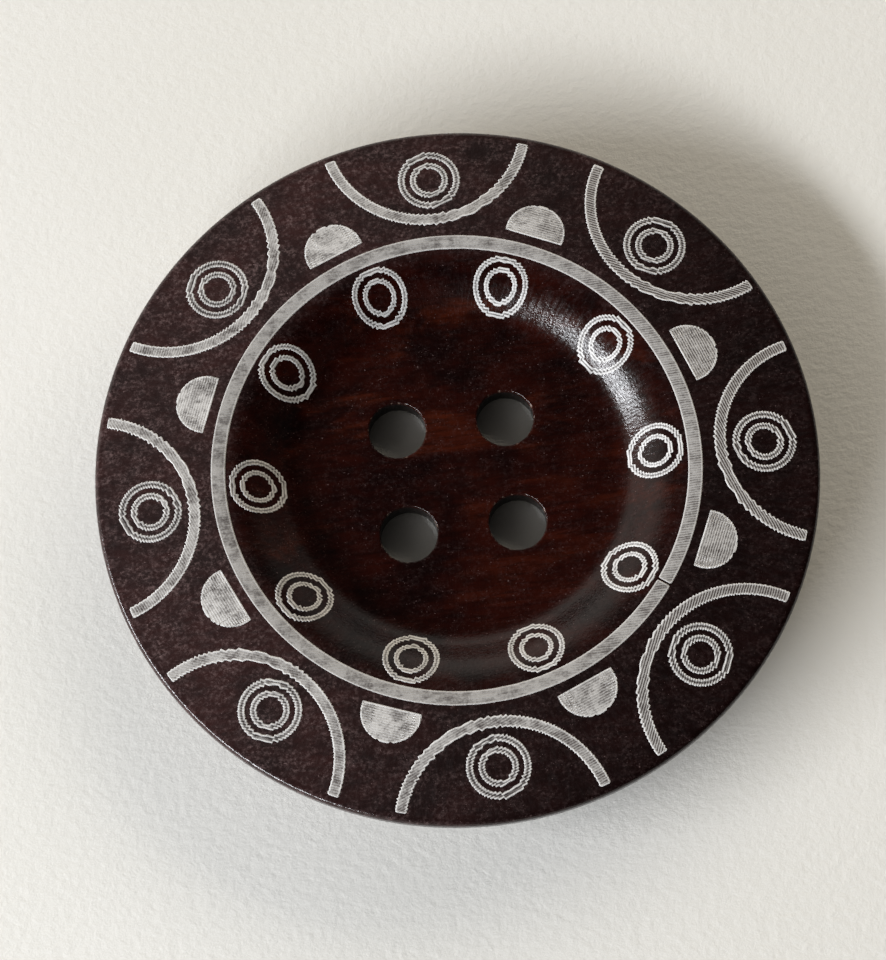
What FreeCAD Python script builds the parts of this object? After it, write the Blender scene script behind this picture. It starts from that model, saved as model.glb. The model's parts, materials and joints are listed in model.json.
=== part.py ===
import FreeCAD, Part
import math
import os
from FreeCAD import Vector

# A large sew-on button: one turned wooden disc with a shallow bowl, four thread
# holes and a pattern burnt pale into its front by a laser.
# Millimetres. The origin is the middle of the flat back that lies on the cloth,
# and +Z points out of the front. Angles are degrees about +Z, from +X.

# The turned disc
DIAMETER = 60.0
THICKNESS = 5.2
BOWL_DEPTH = 3.1
RIM_WIDTH = 9.7            # from the border ring out to the edge of the disc
BORDER_WIDTH = 1.2
WALL_RUN = 5.1             # sloping wall of the bowl, border ring to floor
MOUTH_INSET = 1.2          # wall and land would meet this far inside the border ring
FLOOR_ROUND = 3.0          # soft crease between the bowl's floor and its wall
SHOULDER_ROUND = 6.5       # rounding where the land turns down into the bowl
LAND_MARGIN = 2.0          # flat land that goes on outside the border ring
CROWN_ROUND = 40.0         # soft turn from the flat land to the sloping rim
RIM_DROP = 0.5             # how much lower the rim is at its edge
EDGE_HEIGHT = 1.3
EDGE_TOP_ROUND = 0.5
EDGE_BOTTOM_ROUND = 0.5
BACK_TAPER_RUN = 13.0      # domed underside, edge to flat back
BULGE_RUN = 5.5            # the underside is fullest this far in from the edge
BULGE_SHARE = 0.4          # its height there, as a share of the edge's height
BULGE_ROUND = 30.0
BACK_ROUND = 12.0

# Thread holes, at the corners of a square
HOLE_PITCH = 9.1
HOLE_DIAMETER = 4.8

# The laser pattern
MARK_DEPTH = 0.12          # how deep the pale, frosted wood goes
SEAM_ANGLE = -37.2         # where the two ends of the border ring meet
SEAM_GAP = 0.18
ARC_COUNT = 8
ARC_RADIUS = 8.6           # middle of the band
ARC_WIDTH = 0.96
ARC_GAP = 1.07             # border ring to the nearest point of an arc
ARC_END_MARGIN = 0.7       # arcs stop this far inside the disc's edge
RIM_BANDS = ((2.05, 2.63), (1.09, 1.62))     # inner and outer radius of each band
RIM_BAND_GAP = 0.54        # arc to the outer band inside it
MOON_RADIUS = 2.5
MOON_HEIGHT = 2.95
MOON_GAP = 0.77            # border ring to the straight side of a half moon
BOWL_COUNT = 10
BOWL_BANDS = ((1.87, 2.32), (1.00, 1.40))
BOWL_BAND_GAP = 0.25       # border ring to the outer band
BOWL_TURN = -1.4           # the bowl's rings are turned this much against the rim's
SWING = 2.46               # the rim's marks bunch up by up to this angle
SWING_AXIS = 29.2          # towards this direction

CLEAR = 1.0                # how far a cutting tool runs past what it cuts

# Places that follow from the sizes above
edge_radius = DIAMETER / 2
border_outer = edge_radius - RIM_WIDTH
border_inner = border_outer - BORDER_WIDTH
mouth_radius = border_inner - MOUTH_INSET
floor_radius = border_inner - WALL_RUN
floor_height = THICKNESS - BOWL_DEPTH
crown_radius = border_outer + LAND_MARGIN
edge_top = THICKNESS - RIM_DROP
edge_bottom = edge_top - EDGE_HEIGHT
arc_place = border_outer + ARC_GAP + ARC_WIDTH / 2 + ARC_RADIUS
arc_limit = edge_radius - ARC_END_MARGIN
rim_band_place = arc_place - ARC_RADIUS + ARC_WIDTH / 2 + RIM_BAND_GAP + RIM_BANDS[0][1]
moon_side = border_outer + MOON_GAP
moon_place = moon_side + MOON_HEIGHT - MOON_RADIUS
bowl_band_place = border_inner - BOWL_BAND_GAP - BOWL_BANDS[0][1]


def polar(radius, angle, height=0.0):
    """The point at this radius and angle about the disc's axis."""
    turn = math.radians(angle)
    return Vector(radius * math.cos(turn), radius * math.sin(turn), height)


def swung(angle):
    """A regular station on the rim, moved by the pattern's slow swing."""
    return angle - SWING * math.cos(math.radians(angle - SWING_AXIS))


def rounded_outline(corners):
    """Edges of a closed outline in the XZ plane from (radius, height, rounding) corners."""
    points = [Vector(radius, 0, height) for radius, height, rounding in corners]
    starts = []
    ends = []
    edges = []
    for place, point in enumerate(points):
        back = (points[place - 1] - point).normalize()
        ahead = (points[(place + 1) % len(points)] - point).normalize()
        half = back.getAngle(ahead) / 2
        rounding = corners[place][2]
        reach = rounding / math.tan(half)
        starts.append(point + back * reach)
        ends.append(point + ahead * reach)
        if rounding > 0:
            middle = (back + ahead).normalize()
            top = point + middle * (rounding / math.sin(half) - rounding)
            edges.append(Part.Arc(starts[-1], top, ends[-1]).toShape())
    for place, end in enumerate(ends):
        edges.append(Part.LineSegment(end, starts[(place + 1) % len(points)]).toShape())
    return Part.__sortEdges__(edges)


def turned(corners):
    """The solid that the outline sweeps in one full turn about the disc's axis."""
    face = Part.Face(Part.Wire(rounded_outline(corners)))
    return face.revolve(Vector(0, 0, 0), Vector(0, 0, 1), 360)


def front_corners(sunk=0.0):
    """The front from the middle of the bowl out to the rim, sunk by this much."""
    land = THICKNESS - sunk
    return [
        (0, floor_height - sunk, 0),
        (floor_radius, floor_height - sunk, FLOOR_ROUND),
        (mouth_radius, land, SHOULDER_ROUND),
        (crown_radius, land, CROWN_ROUND),
    ]


def blank_disc():
    """The turned disc before its holes are drilled."""
    bulge_height = edge_bottom * BULGE_SHARE
    return turned(front_corners() + [
        (edge_radius, edge_top, EDGE_TOP_ROUND),
        (edge_radius, edge_bottom, EDGE_BOTTOM_ROUND),
        (edge_radius - BULGE_RUN, bulge_height, BULGE_ROUND),
        (edge_radius - BACK_TAPER_RUN, 0, BACK_ROUND),
        (0, 0, 0),
    ])


def laser_zone():
    """All the space above the bottom of the laser's marks."""
    return turned(front_corners(MARK_DEPTH) + [
        (edge_radius, edge_top - MARK_DEPTH, 0),
        (edge_radius, THICKNESS + CLEAR, 0),
        (0, THICKNESS + CLEAR, 0),
    ])


def column(radius, place):
    """An upright round column through the whole disc, at this place in plan."""
    foot = Vector(place.x, place.y, -CLEAR)
    return Part.makeCylinder(radius, THICKNESS + 2 * CLEAR, foot)


def band_column(inner, outer, place):
    """An upright tube through the whole disc."""
    return column(outer, place).cut(column(inner, place))


def beam(start, width, angle, length):
    """A square beam that starts at this radius and runs outwards at the angle."""
    block = Part.makeBox(length, width, THICKNESS + 2 * CLEAR, Vector(start, -width / 2, -CLEAR))
    block.rotate(Vector(0, 0, 0), Vector(0, 0, 1), angle)
    return block


def border_plan():
    """The border ring's tube, with the narrow gap at its seam."""
    ring = band_column(border_inner, border_outer, Vector())
    return ring.cut(beam(border_inner - CLEAR, SEAM_GAP, SEAM_ANGLE, BORDER_WIDTH + 2 * CLEAR))


def arc_plan(angle):
    """Part of a tube whose hollow side faces outwards, ending just inside the edge."""
    half = ARC_WIDTH / 2
    tube = band_column(ARC_RADIUS - half, ARC_RADIUS + half, polar(arc_place, angle))
    return tube.common(column(arc_limit, Vector()))


def rings_plan(bands, radius, angle):
    """Tubes one inside the other about one centre."""
    place = polar(radius, angle)
    return Part.makeCompound([band_column(inner, outer, place) for inner, outer in bands])


def moon_plan(angle):
    """A round column cut straight on the side that faces the border ring."""
    return column(MOON_RADIUS, polar(moon_place, angle)).common(
        beam(moon_side, 4 * MOON_RADIUS, angle, 4 * MOON_RADIUS))


def mark_plans():
    """Every mark's name and its upright plan shape, in the order they are engraved."""
    plans = {"border_ring": border_plan()}
    for number in range(ARC_COUNT):
        station = 360.0 / ARC_COUNT * number
        between = station + 180.0 / ARC_COUNT
        plans[f"rim_arc_{number + 1}"] = arc_plan(swung(station))
        plans[f"rim_rings_{number + 1}"] = rings_plan(RIM_BANDS, rim_band_place, swung(station))
        plans[f"half_moon_{number + 1}"] = moon_plan(swung(between))
    for number in range(BOWL_COUNT):
        station = 360.0 / BOWL_COUNT * number + BOWL_TURN
        plans[f"bowl_rings_{number + 1}"] = rings_plan(BOWL_BANDS, bowl_band_place, station)
    return plans


def thread_holes():
    """The four columns that the thread holes leave empty."""
    half = HOLE_PITCH / 2
    return [column(HOLE_DIAMETER / 2, Vector(x, y, 0)) for x in (-half, half) for y in (-half, half)]


def save(name, shape):
    """Write one node's solids."""
    solids = shape.Solids
    if not solids or not all(solid.isValid() and solid.Volume > 0 for solid in solids):
        raise ValueError(f"{name} isn't a sound solid")
    whole = solids[0] if len(solids) == 1 else Part.makeCompound(solids)
    whole.exportStep(f"parts/{name}.step")
    print(name, len(solids), "solids", round(whole.Volume, 3), "mm3")


os.makedirs("parts", exist_ok=True)
disc = blank_disc()
zone = laser_zone()
pockets = {name: plan.common(zone) for name, plan in mark_plans().items()}
for name, pocket in pockets.items():
    save(name, pocket.common(disc))
save("button_body", disc.cut(thread_holes()).cut(list(pockets.values())))
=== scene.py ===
"""A large sew-on button of dark stained wood with a laser-frosted pattern.

Lengths are millimetres up to the moment a mesh is made, and angles are degrees about +Z
from +X, unless a line says otherwise.
"""
import json
import math

import bpy
import numpy as np
from mathutils import Matrix, Vector


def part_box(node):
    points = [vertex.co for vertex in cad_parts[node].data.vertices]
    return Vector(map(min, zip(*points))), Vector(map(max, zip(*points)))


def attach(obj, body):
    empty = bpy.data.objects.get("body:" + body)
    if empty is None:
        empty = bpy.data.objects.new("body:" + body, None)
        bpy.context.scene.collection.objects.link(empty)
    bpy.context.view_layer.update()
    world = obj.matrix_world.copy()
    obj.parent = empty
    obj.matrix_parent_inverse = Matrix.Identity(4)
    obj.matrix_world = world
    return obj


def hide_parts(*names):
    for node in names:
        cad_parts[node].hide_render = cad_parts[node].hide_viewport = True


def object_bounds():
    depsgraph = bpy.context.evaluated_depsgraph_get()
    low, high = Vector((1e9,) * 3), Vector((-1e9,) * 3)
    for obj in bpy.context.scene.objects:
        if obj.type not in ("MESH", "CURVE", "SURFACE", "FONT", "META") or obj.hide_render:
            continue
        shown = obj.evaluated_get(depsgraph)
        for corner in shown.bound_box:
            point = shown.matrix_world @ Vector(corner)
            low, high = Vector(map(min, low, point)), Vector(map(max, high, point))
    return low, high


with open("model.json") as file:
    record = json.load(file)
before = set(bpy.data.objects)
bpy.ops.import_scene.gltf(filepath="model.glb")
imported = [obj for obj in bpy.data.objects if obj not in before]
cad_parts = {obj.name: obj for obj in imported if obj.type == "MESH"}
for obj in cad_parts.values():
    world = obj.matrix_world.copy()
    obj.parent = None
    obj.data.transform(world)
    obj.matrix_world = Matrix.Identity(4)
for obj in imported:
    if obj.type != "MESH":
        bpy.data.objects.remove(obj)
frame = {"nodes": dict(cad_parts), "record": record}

cad_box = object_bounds()

MM = 0.001

# ---------------------------------------------------------------- sizes of the turned disc
EDGE_RADIUS = (cad_box[1].x - cad_box[0].x) / 2 / MM
THICKNESS = (cad_box[1].z - cad_box[0].z) / MM
BORDER_OUTER = (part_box("border_ring")[1].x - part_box("border_ring")[0].x) / 2 / MM
BORDER_WIDTH = 1.2
BORDER_INNER = BORDER_OUTER - BORDER_WIDTH
BOWL_DEPTH = 3.1
FLOOR_HEIGHT = THICKNESS - BOWL_DEPTH
WALL_RUN = 5.1             # sloping wall of the bowl, border ring to floor
FLOOR_RADIUS = BORDER_INNER - WALL_RUN
FLOOR_ROUND = 3.0          # the cutter's nose leaves a soft crease between floor and wall
MOUTH_INSET = 1.2          # wall and land would meet this far inside the border ring
MOUTH_RADIUS = BORDER_INNER - MOUTH_INSET
SHOULDER_ROUND = 6.5
LAND_MARGIN = 2.0          # flat land that goes on outside the border ring
CROWN_RADIUS = BORDER_OUTER + LAND_MARGIN
CROWN_ROUND = 40.0
RIM_DROP = 0.5             # how much lower the rim is at its edge
EDGE_TOP = THICKNESS - RIM_DROP
EDGE_HEIGHT = 1.3
EDGE_BOTTOM = EDGE_TOP - EDGE_HEIGHT
EDGE_ROUND = 0.5
BULGE_RUN = 5.5            # the underside is fullest this far in from the edge
BULGE_RADIUS = EDGE_RADIUS - BULGE_RUN
BULGE_SHARE = 0.4          # its height there, as a share of the edge's height
BULGE_HEIGHT = EDGE_BOTTOM * BULGE_SHARE
BULGE_ROUND = 30.0
BACK_TAPER_RUN = 13.0      # domed underside, edge to flat back
BACK_RADIUS = EDGE_RADIUS - BACK_TAPER_RUN
BACK_ROUND = 12.0
WALL_RADIUS = 15.0         # a radius on the bowl's wall, for the streaks on it
HUB_RADIUS = 11.0          # the flat middle that holds the thread holes
HOLE_ROUND = 0.10          # least rounding at the rim of a thread hole
CHIP_SIZE = 0.22           # how much a chip adds to it
COLUMNS = 360              # how many times the disc is divided round its axis

# ---------------------------------------------------------------- sizes of the laser's marks
PITCH = 0.205              # from one scan line to the next
RIM_SCAN = 112.5           # scan lines of arcs and rim rings, against the mark's own direction
BOWL_SCAN = 90.0           # those of the bowl's rings
STROKE = 0.19              # bright stroke along every edge of a mark
LIFT = 0.022               # how far the frosted fibres stand above the lacquer
SHOULDER = 0.05            # width of the rounding at a mark's edges
TUCK = 0.02                # how far the mark's edges start below the lacquer
SINK = 0.09                # how far a mark's underside lies in the wood
RIDGE = 0.012              # height of one scan line
BEAD = 0.02                # how far the turns of the scan stick out at an edge
BLUNT = 0.14               # how far the ends of an arc are rounded off
BORDER_BLUNT = 0.12        # and those of the border ring
SEAM_ANGLE = -37.2
SEAM_GAP = 0.18
ARC_RADIUS = 8.6
ARC_WIDTH = 0.96
ARC_END_MARGIN = 0.7       # the arcs stop this far inside the disc's edge
ARC_LIMIT = EDGE_RADIUS - ARC_END_MARGIN
RIM_BANDS = ((2.05, 2.63), (1.09, 1.62))     # inner and outer radius of each ring
BOWL_BANDS = ((1.87, 2.32), (1.00, 1.40))
MOON_RADIUS = 2.5


# ================================================================ shader arithmetic
class Value:
    """One output of a shader node; signs between values add Math nodes."""

    def __init__(self, shader, socket):
        self.shader = shader
        self.socket = socket

    def math(self, operation, *others):
        inputs = dict(enumerate((self,) + others))
        return self.shader.node("ShaderNodeMath", {"operation": operation}, inputs)

    def __add__(self, other):
        return self.math("ADD", other)

    __radd__ = __add__

    def __mul__(self, other):
        return self.math("MULTIPLY", other)

    __rmul__ = __mul__

    def __sub__(self, other):
        return self.math("SUBTRACT", other)

    def __rsub__(self, other):
        return self.math("MULTIPLY_ADD", -1.0, other)

    def rise(self, low, high):
        """0 below low, 1 above high and a smooth step between; low may be the larger one."""
        first, last, start, end = (low, high, 0.0, 1.0) if low < high else (high, low, 1.0, 0.0)
        return self.shader.node("ShaderNodeMapRange", {"interpolation_type": "SMOOTHSTEP"},
                                {"Value": self, "From Min": first, "From Max": last,
                                 "To Min": start, "To Max": end})


class Nodes:
    """A node tree and the one way nodes are added to it."""

    def __init__(self, tree):
        self.tree = tree

    def plug(self, socket, value):
        """Link a value to a socket, or write a number or colour on it."""
        if isinstance(value, Value):
            self.tree.links.new(value.socket, socket)
        else:
            socket.default_value = value

    def node(self, kind, settings=None, inputs=None, output=0):
        """Any node: its settings are set first, then its sockets' values or links."""
        made = self.tree.nodes.new(kind)
        for key, value in (settings or {}).items():
            setattr(made, key, value)
        for key, value in (inputs or {}).items():
            self.plug(made.inputs[key], value)
        return Value(self, made.outputs[output])

    def parts(self, vector):
        """The X, Y and Z of a vector as values."""
        split = self.node("ShaderNodeSeparateXYZ", None, {0: vector}).socket.node
        return [Value(self, output) for output in split.outputs]

    def blend(self, factor, first, second, mode="MIX"):
        return self.node("ShaderNodeMix", {"data_type": "RGBA", "blend_type": mode},
                         {0: factor, 6: first, 7: second}, output=2)


class Finish(Nodes):
    """One material's nodes around its Principled BSDF."""

    def __init__(self, name, **fixed):
        self.material = bpy.data.materials.new(name)
        self.material.use_nodes = True
        super().__init__(self.material.node_tree)
        self.surface = self.tree.nodes["Principled BSDF"]
        for socket, value in fixed.items():
            self.surface.inputs[socket.replace("_", " ")].default_value = value

    def drive(self, **sockets):
        for socket, value in sockets.items():
            self.plug(self.surface.inputs[socket.replace("_", " ")], value)

    def millimetres(self, stretch=(1.0, 1.0, 1.0)):
        """The object's own coordinates in millimetres, multiplied by a stretch."""
        place = self.node("ShaderNodeTexCoord", output="Object")
        scale = tuple(factor / MM for factor in stretch)
        return self.node("ShaderNodeVectorMath", {"operation": "MULTIPLY"}, {0: place, 1: scale})

    def noise(self, stretch, detail=2.0, rough=0.5, swirl=0.0):
        return self.node("ShaderNodeTexNoise", None,
                         {"Vector": self.millimetres(stretch), "Scale": 1.0, "Detail": detail,
                          "Roughness": rough, "Distortion": swirl})

    def rays(self, across, along, detail=2.0, rough=0.5):
        """Noise in streaks that point at the disc's axis.

        It is read at the direction from the axis times (WALL_RADIUS across + radius along), so
        a millimetre up the bowl's wall holds about `along` grains, and one round it about
        `across` more.
        """
        aim = self.node("ShaderNodeVectorMath", {"operation": "NORMALIZE"},
                        {0: self.millimetres((1.0, 1.0, 0.0))})
        place = self.node("ShaderNodeVectorMath", {"operation": "SCALE"},
                          {0: aim, "Scale": self.radius() * along + WALL_RADIUS * across})
        return self.node("ShaderNodeTexNoise", None,
                         {"Vector": place, "Scale": 1.0, "Detail": detail, "Roughness": rough})

    def radius(self):
        """Distance from the disc's axis in millimetres."""
        flat = self.millimetres((1.0, 1.0, 0.0))
        return self.node("ShaderNodeVectorMath", {"operation": "LENGTH"}, {0: flat}, "Value")

    def bump(self, height, strength, distance):
        return self.node("ShaderNodeBump", None,
                         {"Height": height, "Strength": strength, "Distance": distance})


def colour(red, green, blue):
    """A colour from its display values, 0 to 255."""
    def linear(value):
        share = value / 255
        return share / 12.92 if share <= 0.04045 else ((share + 0.055) / 1.055) ** 2.4
    return (linear(red), linear(green), linear(blue), 1.0)


# ================================================================ materials
def stained_wood():
    """Dark maroon stain that is redder in the bowl, under a lacquer full of fine pale dust.

    On the rim the stain and the dust are painted paler towards the window's side, a painted
    sheen, and the walls of the thread holes are painted near black, a painted shade. Where the
    disc's "worn" attribute is above 0, at the thread holes and round the outer edge, the stain
    has chipped to pale wood.
    """
    wood = Finish("stained_wood", IOR=1.42)
    x, y, z = wood.parts(wood.millimetres())
    rim = wood.radius().rise(17.5, 20.5)
    # painted sheen: the rim is made paler towards -X, the window's side, standing for that light
    # gleaming in the dust
    window_sheen = (x - y * 0.35).rise(25.0, -24.0) * 0.88 + 0.12
    grain = wood.noise((0.35, 2.6, 2.6), 4.0, 0.6, 0.3)
    streak = wood.noise((0.10, 0.34, 0.34), 4.0, 0.55, 0.6)
    cloud = wood.noise((0.16, 0.24, 0.24), 4.0, 0.6)
    mottle = wood.noise((0.9, 1.1, 1.1), 4.0, 0.7)
    bowl = wood.blend(cloud.rise(0.32, 0.66), colour(14, 2, 2), colour(38, 8, 4))
    bowl = wood.blend(streak.rise(0.52, 0.78) * (y.rise(-14.0, 4.0) * 0.46 + 0.14), bowl,
                      colour(82, 31, 13))
    # painted sheen: the rim's stain turns lighter towards the window's side
    lip = wood.blend(cloud.rise(0.3, 0.7) * (window_sheen * 0.8 + 0.14), colour(11, 2, 2),
                     colour(42, 14, 12))
    stain = wood.blend(rim, bowl, lip)
    stain = wood.blend(grain.rise(0.42, 0.70) * 0.5, stain, colour(6, 1, 1))
    # painted shade: the thread holes' walls are darkened near black, as walls that face away from
    # the light
    hole_wall_shade = z.rise(FLOOR_HEIGHT - 0.15, FLOOR_HEIGHT - 0.6) * z.rise(0.0, 0.2)
    hole_wall_shade = hole_wall_shade * wood.radius().rise(HUB_RADIUS + 1, HUB_RADIUS)
    stain = wood.blend(hole_wall_shade, stain, colour(3, 1, 1))
    speck = wood.noise((2.9, 3.3, 3.3), 4.0, 0.75)
    dots = wood.noise((6.5, 7.0, 7.0), 1.0, 0.5)
    # real dust specks and pale dots, made thicker towards the window's side as a painted sheen
    haze_and_sheen = mottle.rise(0.34, 0.66) * (rim * window_sheen * 0.9 + 0.14)
    dust_and_sheen = (speck.rise(0.42, 0.76) * haze_and_sheen * 0.58 + rim * window_sheen * 0.065
            + dots.rise(0.69, 0.81) * mottle.rise(0.38, 0.58) * (0.48 + 0.15 * window_sheen))
    stain = wood.blend(dust_and_sheen, stain, colour(134, 111, 110))
    worn = wood.node("ShaderNodeAttribute", {"attribute_name": "worn"}, output="Fac")
    bare = (worn + speck * 1.2 - 0.95).rise(0.0, 0.4)
    stain = wood.blend(bare, stain, colour(150, 128, 114))
    ripple = wood.noise((4.2, 4.6, 4.6), 2.0, 0.6)
    polish = wood.radius().rise(29.2, 29.8)
    brushed = wood.rays(3.2, 0.8, 3.0, 0.6).rise(0.36, 0.68)
    rough = (mottle * 0.10 + rim * 0.17 + brushed * 0.16 + 0.05) * (1 - polish * 0.6) + bare * 0.3
    height = ripple + brushed * 0.3
    wood.drive(Base_Color=stain, Roughness=rough, Normal=wood.bump(height, 0.26, 0.00009))
    return wood.material


def frosted_wood(name, stroke, fill, gap, hatch, streaked=0.0, reach=STROKE, beads=0.0):
    """Wood turned pale by scan lines: a bright stroke round each mark and duller lines inside.

    The marks' UV map holds how far a point lies across the scan lines, and how far it is
    inside the mark's edge, both in millimetres. The hatch is how far the gaps show, streaked
    is how far long smudges along X do, reach is the width of the stroke, and beads is how far
    the gaps darken it. The gaps are painted darker towards +X, a painted shade of the scan
    lines' ridges in the low light.
    """
    frost = Finish(name, Roughness=0.75, IOR=1.45)
    scan, inside, _ = frost.parts(frost.node("ShaderNodeUVMap", {"uv_map": "scan"}))
    wander = frost.noise((1.4, 1.4, 1.4), 3.0, 0.6)
    line = (scan * (2 * math.pi / PITCH) + wander * 3.5).math("COSINE") * 0.5 + 0.5
    # the scan lines' gaps, plus painted shade of their ridges that grows towards +X
    hatch_and_ridge_shade = frost.parts(frost.millimetres())[0].rise(2.0, 17.0) * 4.2 * hatch + hatch
    between = 0.5 - (scan * (2 * math.pi / PITCH) + wander * 1.5).math("COSINE") * 0.5
    blotch = frost.noise((0.7, 0.7, 0.7), 4.0, 0.7).rise(0.34, 0.66)
    smudge = frost.noise((0.6, 2.8, 2.8), 3.0, 0.7).rise(0.30, 0.70) - 0.5
    fine = frost.noise((5.5, 5.5, 5.5), 3.0, 0.7)
    body = (line * hatch_and_ridge_shade + (blotch * 0.6 + 0.4) * (1 - hatch_and_ridge_shade)
            + smudge * streaked + (fine - 0.5) * 1.1 - between * beads)
    edge = inside.rise(reach, reach * 0.35) * (0.78 + 0.30 * blotch + (fine - 0.5) * 0.8
                                               + beads * 0.3 - between * beads)
    tint = frost.blend(edge, frost.blend(body.rise(0.0, 1.0), gap, fill), stroke)
    frost.drive(Base_Color=tint,
                Normal=frost.bump(edge + body * 0.5 + fine + line * 0.8, 0.45, 0.00003))
    return frost.material


def pulp_paper():
    """Heavy white paper with a soft, felted surface."""
    paper = Finish("paper", Roughness=0.95, IOR=1.3)
    felt = paper.noise((1.1, 1.3, 1.2), 6.0, 0.66)
    tone = paper.noise((0.02, 0.02, 0.02), 2.0, 0.5)
    tint = paper.blend(tone.rise(0.3, 0.7), colour(236, 234, 228), colour(240, 238, 233))
    paper.drive(Base_Color=tint, Normal=paper.bump(felt, 0.30, 0.00025))
    return paper.material


# ================================================================ meshes
def enclosed(points, faces):
    """Volume that the faces enclose; it is negative when they point inwards."""
    a, b, c, d = (points[faces[:, corner]] for corner in range(4))
    return (np.einsum("ij,ij->i", a, np.cross(b, c)).sum()
            + np.einsum("ij,ij->i", a, np.cross(c, d)).sum()) / 6


def grid_faces(rows, columns, rows_closed, columns_closed):
    """Four-cornered faces between neighbours on a grid of points, wrapping where it is closed."""
    row = np.arange(rows if rows_closed else rows - 1)[:, None]
    column = np.arange(columns if columns_closed else columns - 1)[None, :]
    next_row = (row + 1) % rows
    next_column = (column + 1) % columns
    return np.stack([row * columns + column, row * columns + next_column,
                     next_row * columns + next_column, next_row * columns + column],
                    axis=-1).reshape(-1, 4)


def solid(name, points, faces, material, caps=(), scan=None, worn=None):
    """A mesh object from whole arrays, in millimetres; it faces outwards and is shaded smooth."""
    flat = points.reshape(-1, 3)
    if enclosed(flat, faces) < 0:
        faces = faces[:, ::-1]
        caps = [cap[::-1] for cap in caps]
    mesh = bpy.data.meshes.new(name)
    mesh.from_pydata((flat * MM).tolist(), [], faces.tolist() + [list(cap) for cap in caps])
    mesh.shade_smooth()
    if scan is not None:
        corner = np.empty(len(mesh.loops), np.int32)
        mesh.loops.foreach_get("vertex_index", corner)
        layer = mesh.uv_layers.new(name="scan")
        layer.data.foreach_set("uv", scan.reshape(-1, 2)[corner].astype(np.float32).ravel())
    if worn is not None:
        mesh.attributes.new("worn", "FLOAT", "POINT").data.foreach_set("value", worn)
    mesh.materials.append(material)
    piece = bpy.data.objects.new(name, mesh)
    bpy.context.scene.collection.objects.link(piece)
    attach(piece, "root")
    return piece


def rounded(corners, turn=6.0, run=0.7):
    """An open line through (radius, height, rounding) corners as points.

    A rounding of radius r at a corner of half angle h starts r / tan(h) before the corner and
    ends as far after it; its arc has a point about every `turn` degrees, and straight runs one
    about every `run` millimetres.
    """
    places = [np.array(corner[:2], float) for corner in corners]
    line = [places[0][None]]
    for number, corner in enumerate(places[1:], 1):
        last = line[-1][-1]
        if number == len(places) - 1 or corners[number][2] == 0:
            start = corner
            arc = corner[None]
        else:
            back = (places[number - 1] - corner) / np.linalg.norm(places[number - 1] - corner)
            ahead = (places[number + 1] - corner) / np.linalg.norm(places[number + 1] - corner)
            half = math.acos(float(back @ ahead)) / 2
            radius = corners[number][2]
            middle = (back + ahead) / np.linalg.norm(back + ahead)
            centre = corner + middle * radius / math.sin(half)
            start = corner + back * radius / math.tan(half)
            sweep = math.pi - 2 * half
            count = max(4, round(math.degrees(sweep) / turn))
            share = np.linspace(-sweep / 2, sweep / 2, count + 1)[:, None]
            along = (ahead - back) / np.linalg.norm(ahead - back)
            arc = centre + radius * (np.sin(share) * along - np.cos(share) * middle)
        steps = max(1, math.ceil(np.linalg.norm(start - last) / run))
        straight = last + (start - last) * np.linspace(0, 1, steps + 1)[1:-1, None]
        line += [straight, arc]
    return np.concatenate([part for part in line if len(part)])


FRONT_CORNERS = [(FLOOR_RADIUS, FLOOR_HEIGHT, FLOOR_ROUND),
                 (MOUTH_RADIUS, THICKNESS, SHOULDER_ROUND),
                 (CROWN_RADIUS, THICKNESS, CROWN_ROUND)]
FRONT = rounded([(0, FLOOR_HEIGHT, 0), *FRONT_CORNERS, (EDGE_RADIUS, EDGE_TOP, 0)],
                turn=2.0, run=0.2)


def front_height(plan):
    """Height of the disc's front above its back, at places in plan."""
    return np.interp(np.linalg.norm(plan, axis=-1), FRONT[:, 0], FRONT[:, 1])


def turned_shell():
    """Everything outside the hub: the outline carried once round the axis.

    Wear is 0.40 at the upper outer edge and fades over 0.2 mm in radius and 0.25 mm in height.
    """
    line = rounded([(HUB_RADIUS, FLOOR_HEIGHT, 0), *FRONT_CORNERS,
                    (EDGE_RADIUS, EDGE_TOP, EDGE_ROUND), (EDGE_RADIUS, EDGE_BOTTOM, EDGE_ROUND),
                    (BULGE_RADIUS, BULGE_HEIGHT, BULGE_ROUND), (BACK_RADIUS, 0, BACK_ROUND),
                    (HUB_RADIUS, 0, 0)])
    angle = np.radians(np.arange(COLUMNS) * 360 / COLUMNS)
    radius = line[:, 0, None]
    height = np.broadcast_to(line[:, 1, None], (len(line), COLUMNS))
    points = np.stack([radius * np.cos(angle), radius * np.sin(angle), height], axis=-1)
    worn = 0.40 * np.exp(-((line[:, 0] - EDGE_RADIUS) / 0.2) ** 2
                         - ((line[:, 1] - EDGE_TOP) / 0.25) ** 2)[:, None]
    return points, grid_faces(len(line), COLUMNS, False, True), np.tile(worn, COLUMNS)


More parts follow.
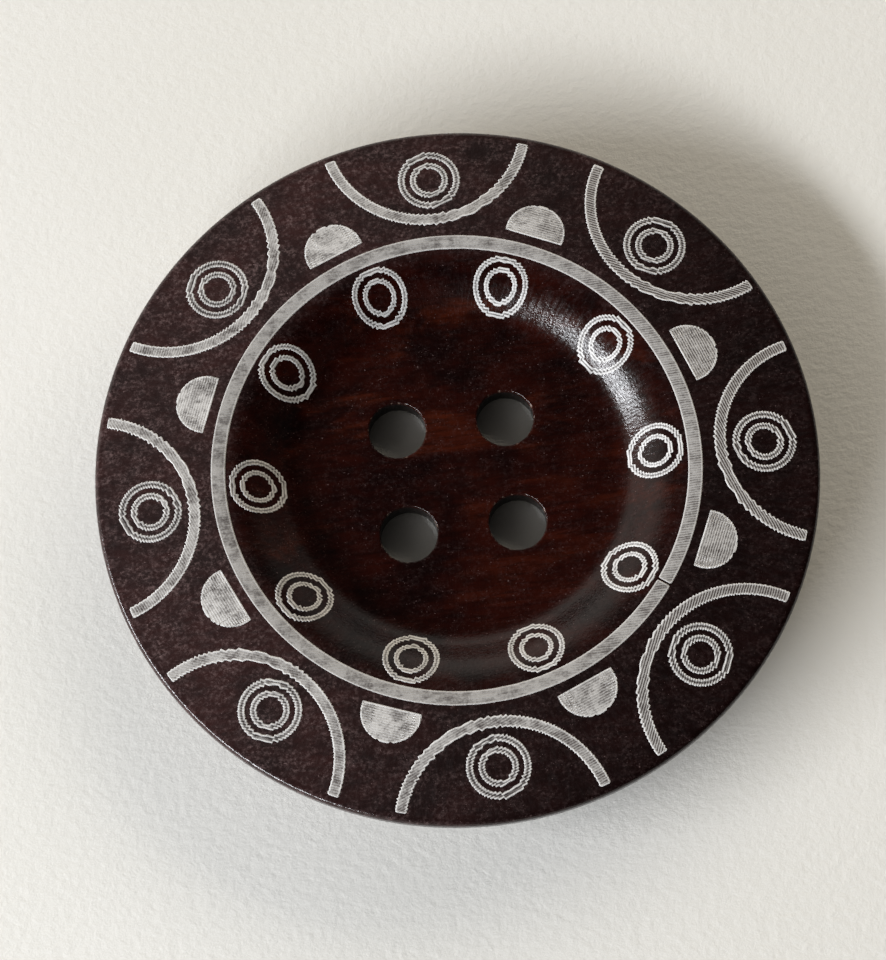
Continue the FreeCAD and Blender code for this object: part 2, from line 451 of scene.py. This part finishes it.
def hub_quarter(hole, radius, seed):
    """A quarter of the hub with its thread hole.

    Every column starts at a point of the quarter's outline (an arc of the hub and two straight
    sides), runs over the floor to the hole's rim along the line to the hole's centre, goes down
    the wall and comes back under the disc. Small chips widen the rim's rounding: they are the
    mean of five waves round the hole, each the sixth power of the positive half of a cosine
    that turns 3 to 16 times.
    """
    side = np.sign(hole)
    first = math.degrees(math.atan2(side[1], side[0])) - 45
    turn = np.radians(first + np.arange(COLUMNS // 4 + 1) * 360 / COLUMNS)
    arc = HUB_RADIUS * np.stack([np.cos(turn), np.sin(turn)], axis=-1)
    shrink = np.linspace(1, 0, 41)[1:, None]
    outline = np.concatenate([arc, arc[-1] * shrink, arc[0] * shrink[::-1][1:]])
    away = outline - hole
    reach = np.linalg.norm(away, axis=-1, keepdims=True)
    spoke = away / reach
    bearing = np.arctan2(spoke[:, 1], spoke[:, 0])
    draw = np.random.default_rng(seed)
    chips = sum(np.clip(np.cos(bearing * draw.integers(3, 17) + draw.uniform(0, 6.28)), 0, 1) ** 6
                for _ in range(5)) / 5
    rounding = HOLE_ROUND + CHIP_SIZE * chips
    bevel = np.linspace(0, 90, 7)[1:]
    top = [(FLOOR_HEIGHT, reach[:, 0])]
    for share in (0.8, 0.6, 0.42, 0.28, 0.17, 0.09, 0.03):
        top.append((FLOOR_HEIGHT, radius + rounding + (reach[:, 0] - radius - rounding) * share))
    for angle in np.radians(np.concatenate([[0], bevel])):
        top.append((FLOOR_HEIGHT - rounding * (1 - np.cos(angle)),
                    radius + rounding * (1 - np.sin(angle))))
    bottom = [(FLOOR_HEIGHT - height, out) for height, out in top]
    walls = [(FLOOR_HEIGHT * share, np.full(len(reach), radius)) for share in (0.75, 0.5, 0.25)]
    rows = top + walls + bottom[::-1]
    points = np.stack([np.concatenate([hole + spoke * out[:, None],
                                       np.broadcast_to(height, out.shape)[:, None]], axis=-1)
                       for height, out in rows])
    worn = np.zeros((len(rows), len(outline)))
    worn[len(top) - 5:len(top)] = 0.15 + 0.7 * chips
    return points, grid_faces(len(rows), len(outline), False, True), worn


def turned_disc(material):
    """The whole wooden disc: the turned shell and four hub quarters, joined at their edges."""
    points, faces, worn = turned_shell()
    points, worn = points.reshape(-1, 3), worn.ravel()
    holes = [m for m in frame["record"]["mounts"] if m["kind"] == "bore"]
    for seed, mount in enumerate(holes):
        hole = np.array(mount["pos_m"][:2]) / MM
        more, more_faces, more_worn = hub_quarter(hole, mount["dims"]["r_mm"], seed)
        more = more.reshape(-1, 3)
        if enclosed(more, more_faces) * enclosed(points, faces) < 0:
            more_faces = more_faces[:, ::-1]
        faces = np.concatenate([faces, more_faces + len(points)])
        points = np.concatenate([points, more])
        worn = np.concatenate([worn, more_worn.ravel()])
    kept, first, index = np.unique(np.round(points, 5), axis=0, return_index=True,
                                   return_inverse=True)
    piece = solid("turned_disc", kept, index.reshape(-1)[faces], material,
                  worn=worn[first].astype(np.float32))
    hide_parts("button_body")


# ================================================================ the laser's marks
def plan_of(node):
    """A CAD node's points seen from above."""
    mesh = frame["nodes"][node].data
    flat = np.empty(len(mesh.vertices) * 3, np.float32)
    mesh.vertices.foreach_get("co", flat)
    return flat.reshape(-1, 3)[:, :2] / MM


def facing(node):
    """The direction of a mark that is the same on both sides of it: midway between its extremes."""
    plan = plan_of(node)
    rough = math.degrees(math.atan2(*plan.mean(axis=0)[::-1]))
    turn = np.degrees(np.arctan2(plan[:, 1], plan[:, 0])) - rough
    turn = (turn + 180) % 360 - 180
    return rough + (turn.min() + turn.max()) / 2


def unit(angle):
    """Unit vectors in plan at these angles."""
    turn = np.radians(angle)
    return np.stack([np.cos(turn), np.sin(turn)], axis=-1)


def ragged(edge, outward, scan_angle, amount=1.0):
    """Move an edge to where whole scan lines end.

    n is how far a point lies across the lines. The edge shifts towards the middle between two
    lines by a softened sawtooth of n, as far as its normal lies across the lines, and the
    laser's turns bead it where it crosses them. Slow waves make the beads uneven.
    """
    across = unit(scan_angle + 90)
    n = edge @ across
    turn = 2 * np.pi * n / PITCH
    saw = np.sin(turn) + 0.30 * np.sin(2 * turn) + 0.10 * np.sin(3 * turn)
    step = PITCH / np.pi * saw * (outward @ across)
    uneven = 1 + 0.45 * np.sin(edge @ (5.1, 2.3) + n) + 0.35 * np.sin(edge @ (-3.7, 7.9))
    bead = BEAD * np.cos(turn / 2) * np.abs(outward @ unit(scan_angle))
    return edge + outward * (amount * (step + bead) * uneven)[:, None]


def strip(name, node, inner, outer, closed, scan_angle, material, rows=13, depth=None):
    """A thin frosted band between two edges in plan, laid on the disc's front.

    Its top is front height + LIFT, rounded down into the wood at both edges and ridged by the
    scan lines; its underside lies SINK below the front. How far a point is inside the edge
    comes from depth if that is given, else from the nearer of the two edges and the two ends.
    """
    share = 0.5 - 0.5 * np.cos(np.linspace(0, np.pi, rows))
    plan = inner[:, None] + (outer - inner)[:, None] * share[:, None]
    width = np.linalg.norm(outer - inner, axis=-1)[:, None]
    inside = np.minimum(share, 1 - share) * width if depth is None else depth(plan)
    if depth is None and not closed:
        step = np.linalg.norm(np.diff(plan[:, rows // 2], axis=0), axis=-1)
        travel = np.concatenate([[0], np.cumsum(step)])[:, None]
        inside = np.minimum(inside, np.minimum(travel, travel[-1] - travel) + 0.03)
    scan = plan @ unit(scan_angle + 90)
    shoulder = np.clip(inside / SHOULDER, 0, 1)
    ridge = RIDGE * np.cos(2 * np.pi * scan / PITCH) * np.clip(inside / STROKE - 0.6, 0, 1)
    rounding = (LIFT + TUCK) * np.sqrt(shoulder * (2 - shoulder))
    top = front_height(plan) - TUCK + rounding + ridge
    under = plan[:, ::-1][:, [0, rows // 2, rows - 1]]
    loop = np.concatenate([np.dstack([plan, top]), np.dstack([under, front_height(under) - SINK])],
                          axis=1)
    uv = np.concatenate([np.dstack([scan, inside]), np.zeros(under.shape)], axis=1)
    ring = loop.shape[1]
    faces = grid_faces(len(loop), ring, closed, True)
    caps = []
    if not closed:
        caps = [np.arange(ring)[::-1], (len(loop) - 1) * ring + np.arange(ring)]
    piece = solid(name, loop, faces, material, caps, uv)
    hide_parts(node)


def ring_strip(name, node, centre, radii, scan_angle, material):
    """A closed band between two circles about a centre, with a point about every 0.05 mm."""
    count = round(2 * math.pi * radii[1] / 0.05)
    outward = unit(np.arange(count) * 360 / count)
    inner, outer = (ragged(centre + outward * radius, outward, scan_angle) for radius in radii)
    strip(name, node, inner, outer, True, scan_angle, material)


def ring_pair(prefix, node, number, bands, turn, material):
    """Two rings about one centre, both standing for the same CAD node."""
    low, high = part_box(node)
    centre = np.array([low.x + high.x, low.y + high.y]) / 2 / MM
    scan_angle = math.degrees(math.atan2(centre[1], centre[0])) + turn
    for place, band in zip(("outer", "inner"), bands):
        ring_strip(f"{prefix}_{place}_{number}", node, centre, band, scan_angle, material)


def border_band(material):
    """The ring round the bowl's mouth, open at its seam."""
    middle = (BORDER_INNER + BORDER_OUTER) / 2
    gap = math.degrees(SEAM_GAP / middle)
    angle = np.linspace(SEAM_ANGLE + gap / 2, SEAM_ANGLE + 360 - gap / 2, 1600)
    outward = unit(angle)
    ends = np.minimum(angle - angle[0], angle[-1] - angle) * math.radians(middle)
    blunt = BORDER_BLUNT * np.clip(1 - ends / BORDER_BLUNT, 0, 1) ** 2
    inner, outer = (ragged(outward * (radius + blunt * sign)[:, None], outward, 0.0, amount=0.12)
                    for radius, sign in ((BORDER_INNER, 1), (BORDER_OUTER, -1)))
    strip("border_band", "border_ring", inner, outer, False, 0.0, material, rows=15)


def arc_band(node, number, material):
    """A band along a circle that opens outwards and stops just inside the disc's edge.

    By the cosine rule, each edge ends where its circle meets the one at ARC_LIMIT.
    """
    axis = facing(node)
    crown = (plan_of(node) @ unit(axis)).min()
    place = crown + ARC_WIDTH / 2 + ARC_RADIUS
    centre = place * unit(axis)
    edges = []
    for radius in (ARC_RADIUS - ARC_WIDTH / 2, ARC_RADIUS + ARC_WIDTH / 2):
        spread = math.degrees(math.acos((place ** 2 + radius ** 2 - ARC_LIMIT ** 2)
                                        / (2 * place * radius)))
        angle = np.linspace(axis + 180 - spread, axis + 180 + spread, 440)
        outward = unit(angle)
        ends = np.minimum(angle - angle[0], angle[-1] - angle) * math.radians(ARC_RADIUS)
        blunt = BLUNT * np.clip(1 - ends / BLUNT, 0, 1) ** 2 * np.sign(ARC_RADIUS - radius)
        edge = centre + outward * (radius + blunt)[:, None]
        edges.append(ragged(edge, outward, axis + RIM_SCAN))
    strip(f"arc_band_{number}", node, *edges, False, axis + RIM_SCAN, material)


def moon(node, number, material):
    """A half moon: from points on its straight side out to points on its dome."""
    axis = facing(node)
    out = unit(axis)
    along = unit(axis + 90)
    reach = plan_of(node) @ out
    side = reach.min()
    centre = reach.max() - MOON_RADIUS
    sag = math.degrees(math.asin((centre - side) / MOON_RADIUS))
    angle = np.linspace(-88 - sag, 88 + sag, 110)
    outward = unit(axis + angle)
    dome = ragged(centre * out + MOON_RADIUS * outward, outward, axis + 90, amount=1.5)
    across = (dome @ along)[:, None]
    straight = side * out + across * along * math.cos(math.radians(sag)) * 0.995

    def inside(plan):
        """Distance to the nearer of the straight side and the dome."""
        from_dome = MOON_RADIUS - np.linalg.norm(plan - centre * out, axis=-1)
        return np.clip(np.minimum(plan @ out - side, from_dome), 0, None)

    strip(f"moon_{number}", node, straight, dome, False, axis + 90, material, rows=61,
          depth=inside)


# ================================================================ the scene
def paper_floor(material):
    """A wide sheet that the button lies on."""
    half = 400.0 * MM
    corners = [(-half, -half, 0), (-half, half, 0), (half, -half, 0), (half, half, 0)]
    mesh = bpy.data.meshes.new("paper_floor")
    mesh.from_pydata(corners, [], [[0, 2, 3, 1]])
    mesh.materials.append(material)
    sheet = bpy.data.objects.new("paper_floor", mesh)
    bpy.context.scene.collection.objects.link(sheet)


def direction(azimuth, elevation):
    """The unit vector towards an azimuth, from +X about +Z, and an elevation."""
    return Vector((*(unit(azimuth) * math.cos(math.radians(elevation))),
                   math.sin(math.radians(elevation))))


def soft_light(name, azimuth, elevation, distance, width, height, power, tint, gloss=True):
    """A soft rectangle of light, in metres and watts, that faces the button.

    Without gloss it lights the scene but leaves no highlight on the lacquer.
    """
    lamp = bpy.data.lights.new(name, "AREA")
    lamp.shape = "RECTANGLE"
    lamp.size = width
    lamp.size_y = height
    lamp.energy = power
    lamp.color = tint
    made = bpy.data.objects.new(name, lamp)
    towards = direction(azimuth, elevation)
    made.location = towards * distance
    made.rotation_euler = (-towards).to_track_quat("-Z", "Y").to_euler()
    made.visible_glossy = gloss
    bpy.context.scene.collection.objects.link(made)


def room_light(strength, warmth):
    """Light from the walls, brightest low down to the left and behind, dark overhead."""
    world = bpy.data.worlds.new("room")
    world.use_nodes = True
    bpy.context.scene.world = world
    room = Nodes(world.node_tree)
    x, y, z = room.parts(room.node("ShaderNodeTexCoord", output="Object"))
    climb = z.rise(0.80, 0.35) * 0.94 + 0.06
    side = (y * 0.6 - x).rise(-0.9, 0.9) * 0.96 + 0.04
    glow = climb * side * strength
    tint = room.blend(1.0, warmth, room.node("ShaderNodeCombineXYZ", None,
                                             {"X": glow, "Y": glow, "Z": glow}), "MULTIPLY")
    room.plug(world.node_tree.nodes["Background"].inputs[0], tint)


def camera(azimuth, elevation, roll, target, distance, lens):
    """A camera that looks at a target from an azimuth (0 looks along +Y) and an elevation."""
    back = direction(azimuth - 90, elevation)
    right = Vector((math.cos(math.radians(azimuth)), math.sin(math.radians(azimuth)), 0))
    up = back.cross(right)
    lean = math.radians(roll)
    turned_right = right * math.cos(lean) + up * math.sin(lean)
    turned_up = up * math.cos(lean) - right * math.sin(lean)
    data = bpy.data.cameras.new("camera")
    data.lens = lens
    data.sensor_width = 36.0
    made = bpy.data.objects.new("camera", data)
    place = Vector(target) + back * distance
    made.matrix_world = Matrix((turned_right, turned_up, back)).transposed().to_4x4()
    made.location = place
    bpy.context.scene.collection.objects.link(made)
    bpy.context.scene.camera = made


camera(azimuth=-1.5, elevation=72.98, roll=-5.11, distance=0.25, lens=113.84,
       target=(-1.24 * MM, -1.18 * MM, THICKNESS * MM))
soft_light("window", azimuth=206, elevation=22.3, distance=0.6, width=0.70, height=0.065,
           power=6.8, tint=(0.93, 0.96, 1.0))
soft_light("wall_fill", azimuth=58, elevation=20, distance=0.7, width=0.90, height=0.25,
           power=3.9, tint=(1.0, 0.91, 0.76), gloss=False)
room_light(strength=0.86, warmth=(1.0, 0.95, 0.87, 1.0))
bpy.context.scene.view_settings.view_transform = "Standard"
paper_floor(pulp_paper())

PALE = colour(222, 220, 218)
turned_disc(stained_wood())
border_frost = frosted_wood("border_frost", colour(200, 197, 194), colour(176, 173, 170),
                            colour(90, 84, 82), hatch=0.10, streaked=0.42)
arc_frost = frosted_wood("arc_frost", colour(226, 224, 222), colour(188, 185, 182),
                         colour(66, 56, 54), hatch=0.17, streaked=0.2, reach=0.21, beads=0.12)
ring_frost = frosted_wood("ring_frost", PALE, colour(132, 126, 123), colour(34, 24, 23),
                          hatch=0.15, reach=0.27, beads=0.60)
moon_frost = frosted_wood("moon_frost", PALE, colour(206, 203, 200), colour(66, 58, 56),
                          hatch=0.13, streaked=0.2, reach=0.22)
bowl_frost = frosted_wood("bowl_frost", PALE, colour(120, 114, 112), colour(30, 20, 18),
                          hatch=0.15, reach=0.26, beads=0.35)
border_band(border_frost)
for name in sorted(frame["nodes"]):
    kind, _, number = name.rpartition("_")
    if kind == "rim_arc":
        arc_band(name, number, arc_frost)
    elif kind == "half_moon":
        moon(name, number, moon_frost)
    elif kind == "rim_rings":
        ring_pair("rim_ring", name, number, RIM_BANDS, RIM_SCAN, ring_frost)
    elif kind == "bowl_rings":
        ring_pair("bowl_ring", name, number, BOWL_BANDS, BOWL_SCAN, bowl_frost)
